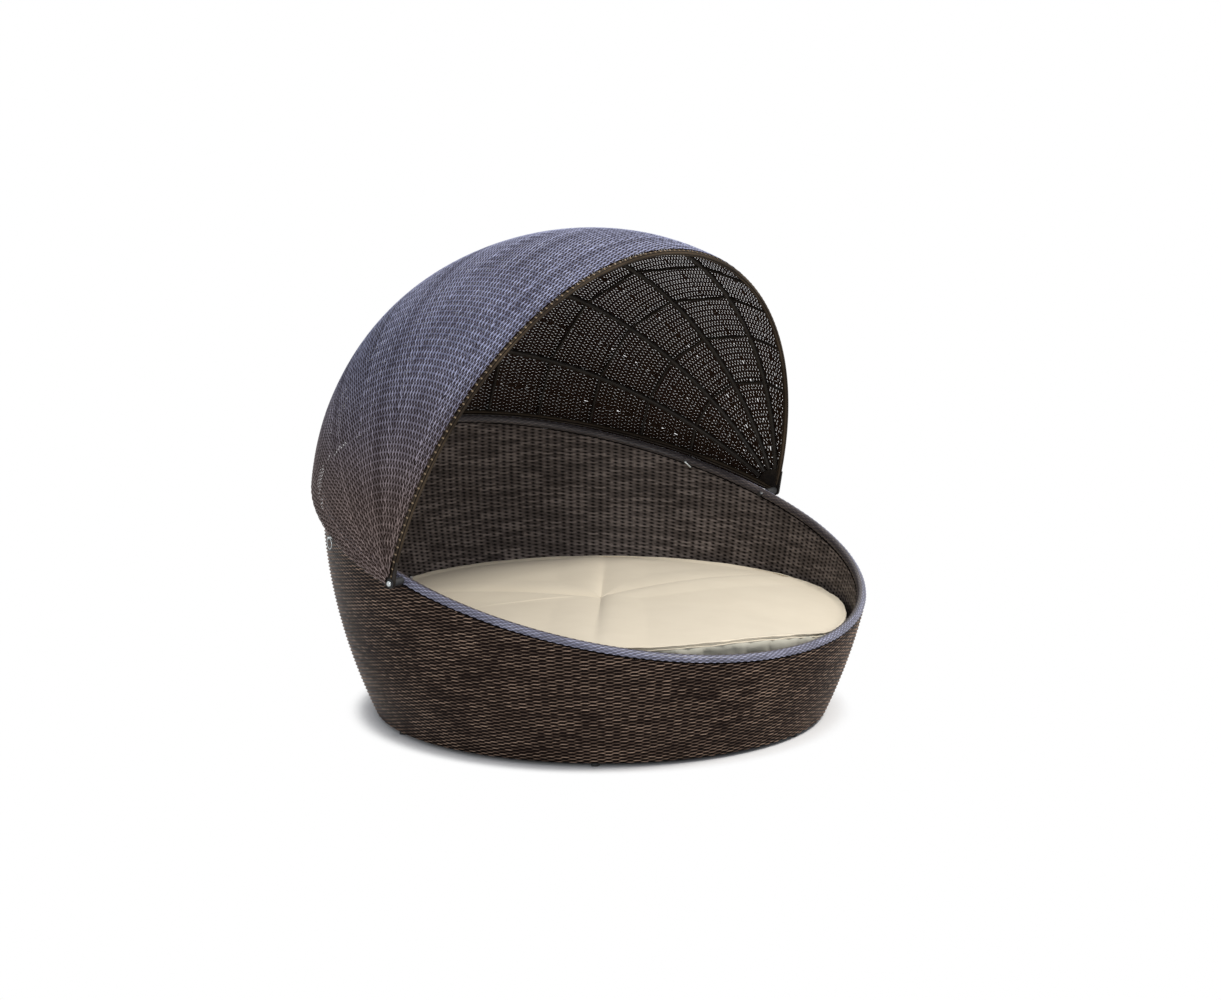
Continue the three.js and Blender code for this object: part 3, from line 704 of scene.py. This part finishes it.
# The band and the underside, from pairs of a radius and a share of the band's height.
side = np.array([[0.8005, 0.965], [0.7985, 0.93], [0.801, 0.89], [0.803, 0.8], [0.802, 0.7], [0.8, 0.6],
                 [0.796, 0.48], [0.79, 0.36], [0.783, 0.24], [0.776, 0.12], [0.766, 0.0], [0.7, 0.0],
                 [0.5, 0.0], [0.25, 0.0], [0.003, 0.0]])
crumple = 0.0022 * np.sin(57 * a + 2 * np.sin(9 * a)) + 0.0014 * np.sin(101 * a + 3 * np.sin(5 * a))
crumple = crumple * np.clip(4 * side[:, 1:] * (1 - side[:, 1:]), 0, 1) * (side[:, 1:] < 0.93)
band = round_tub(a, side[:, :1] + crumple, pad_bottom + side[:, 1:] * (seam_height(a) - pad_bottom))
points = np.concatenate([top, band])
is_band = np.zeros(points.shape[:2])
is_band[len(rings) + 1:] = 1
mattress = build("mattress_cover", points, quads(len(points), sectors, True), cover,
                 {"band": is_band.ravel()}, strip(len(points), sectors + 1))
top_swell = 0.009
band_swell = 0.010
cloth_steps = 20
free_rows = 9             # of points on the band, from its upper edge down
held = np.zeros(points.shape[:2])
held[:len(rings)] = np.maximum(seam_gap < math.pi / sectors, rings < 0.04)
held[len(rings) - 1:len(rings) + 2] = 1
held[len(rings) + free_rows:] = 1
group = mattress.vertex_groups.new(name="sewn")
group.add([int(n) for n in np.flatnonzero(held.ravel())], 1.0, "REPLACE")
cloth = mattress.modifiers.new("cloth", "CLOTH")
cloth.settings.vertex_group_mass = "sewn"
cloth.settings.use_pressure = True
cloth.settings.uniform_pressure_force = 4
cloth.settings.shrink_min = -0.02
cloth.settings.mass = 0.3
cloth.settings.bending_stiffness = 0.6
cloth.settings.effector_weights.gravity = 0
for step in range(1, cloth_steps + 1):
    scene.frame_set(step)
solved = mattress.evaluated_get(bpy.context.evaluated_depsgraph_get()).to_mesh()
moved = np.empty(points.size)
solved.vertices.foreach_get("co", moved)
mattress.modifiers.remove(cloth)
scene.frame_set(1)
rest = points.reshape(-1, 3) - (0, middle_behind, 0)
shift = np.nan_to_num(moved.reshape(-1, 3) - rest)
size = np.linalg.norm(shift, axis=1, keepdims=True)
most = np.full(points.shape[:2], band_swell)
most[:len(rings)] = top_swell * np.minimum(1, from_seam / 0.16) ** 1.5 + 1e-5
shift *= np.minimum(1, most.reshape(-1, 1) / np.maximum(size, 1e-6))
mattress.data.vertices.foreach_set("co", (rest + shift).ravel())
mattress.data.update()
place(mattress, "tub", "cover", "mattress")

# The piping: two cords, each in a strip of the mattress's own cover, sewn in round its upper edge. The
# lower one runs about a centimetre below the upper, and both waver, most of all at the front.
piping_points = 480
piping_sides = 10
turn = np.arange(piping_points) * 2 * math.pi / piping_points
points, faces = [], []
for k, (drop, out, radius) in enumerate(((0.002, 0.8015, 0.0026), (0.0125, 0.8005, 0.0024))):
    wave = 0.0011 * np.sin(23 * turn + k) + 0.0008 * np.sin(41 * turn + 2 * k) + 0.0005 * np.sin(97 * turn)
    wave *= 0.25 + 0.75 * np.clip(np.cos(turn - 0.1), 0, 1)
    line = round_tub(turn, out + 0.5 * wave, seam_height(turn) - drop + wave)
    along = unit(np.roll(line, -1, 0) - np.roll(line, 1, 0))
    first = unit(round_tub(turn, 1.0, 0.0 * turn))
    ring = tube_points(line, first, unit(np.cross(along, first)), radius, piping_sides)
    points.append(ring.reshape(-1, 3))
    faces.append(quads(piping_points, piping_sides, True, piping_points * piping_sides * k, True))
piping = build("mattress_piping", np.concatenate(points), np.concatenate(faces), cover, {"band": 0.0})
place(piping, "tub", "cover", "mattress")

# The pivots: at each side a bright bolt with a rounded head goes through the hood's plate, between a
# black washer and a black spacer, and is held inside the tub by a nut.
steel, shader, paint = finish("bright_steel", 0.28)
shader.inputs["Metallic"].default_value = 1.0
paint.noise(160.0, 3.0).mix((0.40, 0.43, 0.44, 1), (0.58, 0.61, 0.62, 1)).to(shader, "Base Color")
(paint.noise(90.0, 2.0, (1, 1, 8)) * 0.22 + 0.18).to(shader, "Roughness")
rubber, shader, paint = finish("black_rubber", 0.7)
paint.noise(120.0).mix((0.010, 0.010, 0.011, 1), (0.020, 0.020, 0.021, 1)).to(shader, "Base Color")
paint.noise(500.0, 3.0).bump(0.2, 0.0003).to(shader, "Normal")
dull_steel, shader, paint = finish("dull_steel", 0.5)
shader.inputs["Metallic"].default_value = 1.0
paint.noise(160.0, 3.0).mix((0.05, 0.05, 0.052, 1), (0.11, 0.11, 0.115, 1)).to(shader, "Base Color")


def turned(name, profile, side, material, sides=32):
    """A ring or stud turned about the pivot's axis, from pairs of a radius and a place along it."""
    profile = np.array(profile)
    turn = np.arange(sides) * 2 * math.pi / sides
    r, x = profile[:, :1], profile[:, 1:]
    y, z = pivot[1] + r * np.cos(turn), pivot[2] + r * np.sin(turn)
    points = np.stack(np.broadcast_arrays(side * x, y, z), -1)
    faces = quads(len(profile), sides, True)
    return build(name, points, faces if side > 0 else faces[:, ::-1], material)


half_plate = 0.003
plate_depth = 0.006
bolt_radius = 0.005
hole_radius = 0.0055
head_radius = 0.009
washer_radius = 0.015
spacer_radius = 0.012
nut_radius = 0.0091
play = 0.0003
hub_outer = half_span - bow_inset + half_plate
pivot_rim = wall_radius(pivot[2])
rim_outer = math.sqrt(pivot_rim ** 2 - pivot[1] ** 2) - 0.0006
rim_inner = math.sqrt((pivot_rim - wall_gap) ** 2 - pivot[1] ** 2) - 0.0022
head = hub_outer + 0.0031
for name, side in (("left", -1), ("right", 1)):
    end = rim_inner - 0.0073
    bolt = turned(f"bolt_{name}", [
        (0.0001, end), (bolt_radius - 0.0008, end), (bolt_radius, end + 0.0006), (bolt_radius, head),
        (head_radius - 0.0004, head), (head_radius, head + 0.0004), (head_radius, head + 0.0028),
        (0.0082, head + 0.0044), (0.0063, head + 0.0059), (0.0036, head + 0.0067),
        (0.0001, head + 0.007)], side, steel)
    place(bolt, "tub", "bright_steel", f"pivot_bolt_{name}")
    near = hub_outer + play
    far = near + 0.0025
    washer = turned(f"washer_{name}", [
        (hole_radius, near), (washer_radius - 0.0005, near), (washer_radius, near + 0.0006),
        (washer_radius, far - 0.0007), (washer_radius - 0.0006, far), (hole_radius + 0.0001, far),
        (hole_radius, near)], side, rubber)
    place(washer, "tub", "black_rubber", f"pivot_washer_{name}")
    near, far = rim_outer + play, hub_outer - plate_depth - play
    spacer = turned(f"spacer_{name}", [
        (hole_radius, near), (spacer_radius - 0.0006, near), (spacer_radius, near + 0.0008),
        (spacer_radius, far - 0.0008), (spacer_radius - 0.0006, far), (hole_radius, far),
        (hole_radius, near)], side, rubber)
    place(spacer, "tub", "black_rubber", f"pivot_spacer_{name}")
    near, far = rim_inner - 0.0083, rim_inner - play
    cap = near + 0.0007
    nut = turned(f"nut_{name}", [
        (0.0001, near), (nut_radius - 0.0013, near), (nut_radius, near + 0.0012),
        (nut_radius, far - 0.0006), (nut_radius - 0.0005, far), (hole_radius, far), (hole_radius, cap),
        (0.0001, cap)], side, dull_steel, 6)
    nut.data.shade_flat()
    place(nut, "tub", "bright_steel", f"pivot_nut_{name}")

# The stop pins: bright bars through the rim that the hood's rear bow rests on, each bent down along the
# inner wall, with a thin split ring through its outer end that keeps it from sliding out.
rim_turn = math.radians(112)
pin_height = 0.6632
pin_radius = 0.0032
pin_bend = 0.006
pin_corner = 0.865
pin_reach = 0.099
pin_sides = 16
arm_drop = math.radians(41)
arm_reach = 0.034
end_round = 0.0007
keeper_radius = 0.018
keeper_wire = 0.0012
keeper_place = 0.958
keeper_points = 64
keeper_sides = 10


def pin_frame(side):
    out = round_tub(side * rim_turn, 1.0, 0.0)
    forward = np.array([-side * math.cos(rim_turn), -math.sin(rim_turn), 0])
    return out, forward, np.array([0, 0, 1.0])


for name, side in (("left", -1), ("right", 1)):
    out, forward, up = pin_frame(side)
    corner = out * pin_corner + up * pin_height
    arm = forward * math.cos(arm_drop) - up * math.sin(arm_drop)
    bend_start, bend_end = corner + out * pin_bend, corner + arm * pin_bend
    t = np.linspace(0, 1, 9)[1:-1, None]
    line = np.concatenate([
        [corner + out * pin_reach, corner + out * (pin_reach - end_round), bend_start],
        (1 - t) ** 2 * bend_start + 2 * t * (1 - t) * corner + t ** 2 * bend_end,
        [bend_end, corner + arm * (arm_reach - end_round), corner + arm * arm_reach]])
    along = unit(np.gradient(line, axis=0))
    square = unit(np.cross(out, arm))
    radius = np.full(len(line), pin_radius)
    radius[[0, -1]] = pin_radius - end_round
    squares = np.tile(square, (len(line), 1))
    ring = tube_points(line, np.cross(along, square), squares, radius, pin_sides)
    caps = [np.repeat(line[:1, None], pin_sides, 1), np.repeat(line[-1:, None], pin_sides, 1)]
    pin = build(f"pin_{name}", np.concatenate([caps[0], ring, caps[1]]),
                quads(len(line) + 2, pin_sides, True), steel)
    place(pin, "tub", "bright_steel", f"stop_pin_{name}")
    turn = np.arange(keeper_points) * 2 * math.pi / keeper_points
    centre = out * keeper_place + up * (pin_height - keeper_radius)
    spoke = forward * np.cos(turn)[:, None] + up * np.sin(turn)[:, None]
    outs = np.tile(out, (keeper_points, 1))
    ring = tube_points(centre + spoke * keeper_radius, spoke, outs, keeper_wire, keeper_sides)
    keeper = build(f"keeper_{name}", ring, quads(keeper_points, keeper_sides, True, 0, True), steel)
    place(keeper, "tub", "bright_steel", f"keeper_ring_{name}")

# The feet: six round rubber pads under the base ring, which keep the weave off the floor. They keep the
# shape that the part's source gives them.
for k in range(1, 7):
    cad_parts[f"foot_{k}"].data.materials.clear()
    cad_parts[f"foot_{k}"].data.materials.append(rubber)

bpy.context.view_layer.update()
